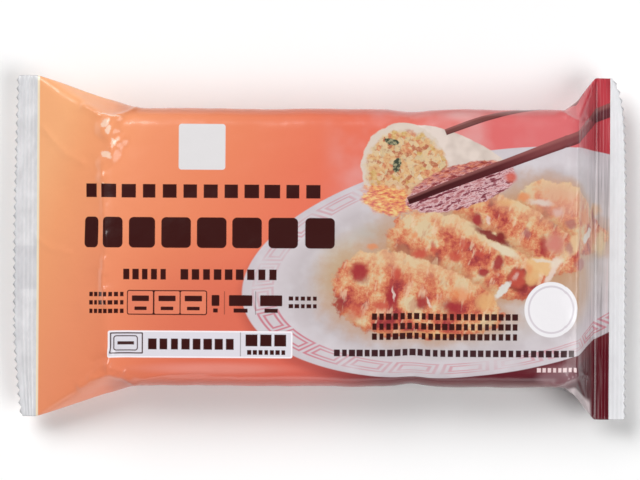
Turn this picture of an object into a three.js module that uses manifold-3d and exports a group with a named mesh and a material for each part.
// Shut flow-wrap pack of frozen dumplings, lying print side up.
//
// A tube of printed film is drawn round a shallow filled tray. A long back seam is folded
// flat along the underside, and a ribbed, zigzag-cut crimp shuts each end. The film keeps
// one girth along its whole length, so the pack widens wherever it grows thinner.
//
// Millimetres. X runs along the pack, Y across it and +Z up. The origin is the middle of the
// pack's length and width, on the surface that it lies on.

import * as THREE from "three";
import { mergeVertices } from "three/addons/utils/BufferGeometryUtils.js";
import Module from "manifold-3d";

// Driving dimensions.
const PACK_LENGTH = 208;
const FILM_GIRTH = 230;

// The tray inside, and the film drawn over it.
const TRAY_START = -71;
const TRAY_END = 86.3;
const BODY_HEIGHT = 25.5;
const TOP_HALF = 43;
const WALL_HALF = 46.7;
const WALL_TOP = 21.5;
const WALL_BOTTOM = 4.5;
const TOP_CROWN = 1.2;

// The top face sags a little before the tray's right end.
const END_SAG = 0.9;
const END_SAG_START = 78;

// At the tray's ends each long wall folds out into a ridge, which runs on to the crimp's corner.
const RIDGE_HALF = 49.7;
const RIDGE_LEVEL = 12;
const RIDGE_THICKNESS = 0.6;

// Each end: where the tray ends and which way the end points, length of the flat film beside
// the crimp, depth of the crimp, height of the crimp above the surface, and length of the
// folded wall beside the tray.
const LEFT_END = { tray: TRAY_START, side: -1, flat: 0, crimp: 8, level: 9.5, fold: 9 };
const RIGHT_END = { tray: TRAY_END, side: 1, flat: 5, crimp: 6, level: 10, fold: 4 };

const CRIMP_THICKNESS = 0.8;
const CRIMP_EDGE_THICKNESS = 0.3;
const CRIMP_EDGE_INSET = 0.4;
const CRIMP_RIB_PITCH = 1.4;
const CRIMP_RIB_HEIGHT = 0.2;

const TOOTH_PITCH = 2.9;
const TOOTH_DEPTH = 0.9;

// The back seam: a flap of two film layers, folded to the -Y side of the middle line.
const SEAM_WIDTH = 14.5;
const SEAM_THICKNESS = 0.5;
const SEAM_STEP = 0.25;

// The waist: a shallow pinch in both long sides, where the tray's wall is notched.
const WAIST_X = 31;
const WAIST_DEPTH = 0.8;
const WAIST_REACH = 5;

// Upright pleats in the flat film beside the right crimp.
const PLEAT_PITCH = 1.25;
const PLEAT_HEIGHT = 0.15;
const PLEATED_LENGTH = RIGHT_END.flat;

// How finely the surface is divided, and how far the film's corners are rounded.
const BODY_STEP = 7;
const NECK_STEP = 2.2;
const CORNER_REACH = 3;
const SHOULDER_ROUNDING = 0.1;
const CORNER_STEPS = 2;
const TOP_STEPS = 8;
const CUT_ALLOWANCE = 1.6;
const CUTTER_REACH = 12;

const FILM_COLOR = 0xe07a63;

const { clamp, lerp } = THREE.MathUtils;
const halfLength = PACK_LENGTH / 2;
const flatHalf = FILM_GIRTH / 4;
const leftSeal = -halfLength + LEFT_END.crimp;
const rightSeal = halfLength - RIGHT_END.crimp;

// A triangle wave between -1 and 1 that repeats once for each unit of phase.
function triangleWave(phase) {
  const part = phase - Math.floor(phase);
  return 1 - 4 * Math.abs(part - 0.5);
}

// The smaller of two values, with the corner between them rounded off.
function softMinimum(a, b, rounding) {
  const mix = clamp(0.5 + (b - a) / (2 * rounding), 0, 1);
  return lerp(b, a, mix) - rounding * mix * (1 - mix);
}

function endAt(x) {
  return x < 0 ? LEFT_END : RIGHT_END;
}

// 0 in a crimp and its flat film, 1 over the tray, with a rounded shoulder between.
function fullnessAt(x) {
  const end = endAt(x);
  const neckEnd = end.side * (halfLength - end.crimp - end.flat);
  const along = Math.max((neckEnd - x) / (neckEnd - end.tray), 0);
  return clamp(softMinimum(along, 1, SHOULDER_ROUNDING), 0, 1);
}

// 0 beside the tray and 1 from the tray's end on, where the long walls are folded out.
function foldAt(x) {
  const end = endAt(x);
  return clamp(1 + (end.side * (x - end.tray)) / end.fold, 0, 1);
}

// Height of the ribs and pleats that run across the film at this place.
function ridgeAt(x) {
  if (x <= leftSeal) {
    return CRIMP_RIB_HEIGHT * triangleWave((x - leftSeal) / CRIMP_RIB_PITCH);
  }
  if (x >= rightSeal) {
    return CRIMP_RIB_HEIGHT * triangleWave((x - rightSeal) / CRIMP_RIB_PITCH);
  }
  const fade = clamp(1 - (rightSeal - x) / PLEATED_LENGTH, 0, 1);
  return PLEAT_HEIGHT * fade * triangleWave((x - rightSeal) / PLEAT_PITCH);
}

// The corners of the film's outline on the +Y side at one place: the edge of the top face,
// the top and bottom of the long wall, and the edge of the underside.
function cornersAt(x) {
  const fullness = fullnessAt(x);
  const fold = foldAt(x);
  const level = endAt(x).level;
  const waist = WAIST_DEPTH * Math.exp(-Math.pow((x - WAIST_X) / WAIST_REACH, 2));
  const between = (sealed, full) => lerp(sealed, full, fullness);
  const edgeHalf = between(flatHalf - CRIMP_EDGE_INSET, TOP_HALF - waist);
  const wallHalf = between(flatHalf, lerp(WALL_HALF - waist, RIDGE_HALF, fold));
  const sagShare = clamp((x - END_SAG_START) / (TRAY_END - END_SAG_START), 0, 1);
  const bodyTop = BODY_HEIGHT - END_SAG * sagShare * sagShare;
  const ridgeTop = RIDGE_LEVEL + RIDGE_THICKNESS / 2;
  const ridgeBottom = RIDGE_LEVEL - RIDGE_THICKNESS / 2;
  const edge = CRIMP_EDGE_THICKNESS / 2;
  const top = between(level + CRIMP_THICKNESS / 2, bodyTop);
  const wallTop = between(level + edge, lerp(WALL_TOP, ridgeTop, fold));
  const wallBottom = between(level - edge, lerp(WALL_BOTTOM, ridgeBottom, fold));
  const bottom = between(level - CRIMP_THICKNESS / 2, 0);
  const lift = SEAM_THICKNESS + ridgeAt(x);
  return {
    topEdge: new THREE.Vector2(edgeHalf, top + lift),
    wallTop: new THREE.Vector2(wallHalf, wallTop + lift),
    wallBottom: new THREE.Vector2(wallHalf, wallBottom + lift),
    bottomEdge: new THREE.Vector2(edgeHalf, bottom + lift),
  };
}

// Points round a corner: an arc of a parabola that starts and ends on the two straight sides.
function roundedCorner(before, corner, after) {
  const startPart = Math.min(CORNER_REACH / corner.distanceTo(before), 0.4);
  const endPart = Math.min(CORNER_REACH / corner.distanceTo(after), 0.4);
  const start = corner.clone().lerp(before, startPart);
  const end = corner.clone().lerp(after, endPart);
  const curve = new THREE.QuadraticBezierCurve(start, corner, end);
  return curve.getPoints(CORNER_STEPS);
}

// The closed outline of the film at one place along the pack, as points in Y and Z. It starts
// with the seam on the underside and runs towards +Y.
function outlineAt(x) {
  const { topEdge, wallTop, wallBottom, bottomEdge } = cornersAt(x);
  const middleTop = new THREE.Vector2(0, topEdge.y);
  const middleBottom = new THREE.Vector2(0, bottomEdge.y);
  const farSide = [
    ...roundedCorner(middleBottom, bottomEdge, wallBottom),
    ...roundedCorner(bottomEdge, wallBottom, wallTop),
    ...roundedCorner(wallBottom, wallTop, topEdge),
    ...roundedCorner(wallTop, topEdge, middleTop),
  ];
  const nearSide = farSide.map((point) => new THREE.Vector2(-point.x, point.y)).reverse();
  const topStart = farSide[farSide.length - 1];
  const crown = TOP_CROWN * fullnessAt(x);
  const top = [];
  for (let step = 1; step < TOP_STEPS; step++) {
    const across = 1 - (2 * step) / TOP_STEPS;
    top.push(new THREE.Vector2(across * topStart.x, topStart.y + crown * (1 - across * across)));
  }
  const seam = [
    new THREE.Vector2(-SEAM_WIDTH, bottomEdge.y),
    new THREE.Vector2(-SEAM_WIDTH + SEAM_STEP, bottomEdge.y - SEAM_THICKNESS),
    new THREE.Vector2(-SEAM_STEP, bottomEdge.y - SEAM_THICKNESS),
    new THREE.Vector2(0, bottomEdge.y),
  ];
  return [...seam, ...farSide, ...top, ...nearSide];
}

// Evenly spaced places from one X to another, leaving out the last.
function placesBetween(start, end, step) {
  const count = Math.max(1, Math.round((end - start) / step));
  return Array.from({ length: count }, (_, index) => start + ((end - start) * index) / count);
}

// Every place where the film's outline is taken. Ribs and pleats are taken at each crest and
// each valley, counted from the seal, so their places step by half a pitch.
function filmPlaces() {
  const halfRib = CRIMP_RIB_PITCH / 2;
  const halfPleat = PLEAT_PITCH / 2;
  const leftRibs = Math.ceil((LEFT_END.crimp + CUT_ALLOWANCE) / halfRib);
  const rightRibs = Math.ceil((RIGHT_END.crimp + CUT_ALLOWANCE) / halfRib);
  const pleats = Math.floor(PLEATED_LENGTH / halfPleat);
  const pleatStart = rightSeal - pleats * halfPleat;
  const leftFold = TRAY_START + LEFT_END.fold;
  const rightFold = TRAY_END - RIGHT_END.fold;
  const waistStart = WAIST_X - 2 * WAIST_REACH;
  const waistEnd = WAIST_X + 2 * WAIST_REACH;
  return [
    ...placesBetween(leftSeal - leftRibs * halfRib, leftSeal, halfRib),
    ...placesBetween(leftSeal, leftFold, NECK_STEP),
    ...placesBetween(leftFold, waistStart, BODY_STEP),
    ...placesBetween(waistStart, waistEnd, WAIST_REACH / 2),
    ...placesBetween(waistEnd, rightFold, BODY_STEP),
    ...placesBetween(rightFold, pleatStart, NECK_STEP / 2),
    ...placesBetween(pleatStart, rightSeal, halfPleat),
    ...placesBetween(rightSeal, rightSeal + rightRibs * halfRib, halfRib),
    rightSeal + rightRibs * halfRib,
  ];
}

// A closed skin through outlines that all have the same number of points.
function loft(places) {
  const outlines = places.map(outlineAt);
  const ring = outlines[0].length;
  const positions = [];
  const triangles = [];
  outlines.forEach((outline, index) => {
    outline.forEach((point) => positions.push(places[index], point.x, point.y));
  });
  for (let row = 0; row + 1 < outlines.length; row++) {
    for (let side = 0; side < ring; side++) {
      const next = (side + 1) % ring;
      const here = row * ring;
      const ahead = here + ring;
      triangles.push(here + side, here + next, ahead + next);
      triangles.push(here + side, ahead + next, ahead + side);
    }
  }
  const addCap = (row, facesBack) => {
    const centre = positions.length / 3;
    const middle = outlines[row].reduce((sum, point) => sum.add(point), new THREE.Vector2());
    middle.divideScalar(ring);
    positions.push(places[row], 0, middle.y);
    for (let side = 0; side < ring; side++) {
      const edge = [row * ring + side, row * ring + ((side + 1) % ring)];
      triangles.push(centre, ...(facesBack ? edge.reverse() : edge));
    }
  };
  addCap(0, true);
  addCap(outlines.length - 1, false);
  const geometry = new THREE.BufferGeometry();
  geometry.setAttribute("position", new THREE.Float32BufferAttribute(positions, 3));
  geometry.setIndex(triangles);
  return geometry;
}

// How far each cut edge draws in from its furthest point, by the distance across the pack.
// The left edge bows in towards its near corner; the right one turns in at its far corner.
function leftDrawIn(y) {
  const near = clamp((-20 - y) / 38, 0, 1);
  const far = clamp((y - 10) / 48, 0, 1);
  return 2.9 * near * near + far;
}

function rightDrawIn(y) {
  const far = clamp((y - 8) / 50, 0, 1);
  return 1.6 * far * far + 3.6 * Math.pow(far, 9);
}

// The solid outside one zigzag knife line. side is -1 at the left end, 1 at the right.
function knife(side, drawIn) {
  const outside = side * (halfLength + CUTTER_REACH);
  const teeth = Math.ceil((2 * flatHalf + TOOTH_PITCH) / TOOTH_PITCH);
  const startY = (-teeth * TOOTH_PITCH) / 2;
  const outline = new THREE.Shape();
  outline.moveTo(outside, startY);
  for (let step = 0; step <= 2 * teeth; step++) {
    const y = startY + (step * TOOTH_PITCH) / 2;
    const valley = step % 2 === 0 ? TOOTH_DEPTH : 0;
    outline.lineTo(side * (halfLength - drawIn(y) - valley), y);
  }
  outline.lineTo(outside, -startY);
  const geometry = new THREE.ExtrudeGeometry(outline, { depth: 40, bevelEnabled: false });
  geometry.translate(0, 0, -5);
  return geometry;
}

const wasm = await Module();
wasm.setup();

function toSolid(geometry) {
  geometry.deleteAttribute("normal");
  geometry.deleteAttribute("uv");
  const merged = mergeVertices(geometry);
  const vertProperties = new Float32Array(merged.attributes.position.array);
  const triVerts = new Uint32Array(merged.index.array);
  return new wasm.Manifold(new wasm.Mesh({ numProp: 3, vertProperties, triVerts }));
}

function toGeometry(solid) {
  const mesh = solid.getMesh();
  const geometry = new THREE.BufferGeometry();
  geometry.setAttribute("position", new THREE.BufferAttribute(mesh.vertProperties, 3));
  geometry.setIndex(new THREE.BufferAttribute(mesh.triVerts, 1));
  geometry.computeVertexNormals();
  return geometry;
}

const film = toSolid(loft(filmPlaces()))
  .subtract(toSolid(knife(-1, leftDrawIn)))
  .subtract(toSolid(knife(1, rightDrawIn)));

const filmMaterial = new THREE.MeshStandardMaterial({
  color: FILM_COLOR,
  roughness: 0.3,
  metalness: 0,
});
const pack = new THREE.Mesh(toGeometry(film), filmMaterial);
pack.name = "film_pack";

const model = new THREE.Group();
model.add(pack);

export default model;
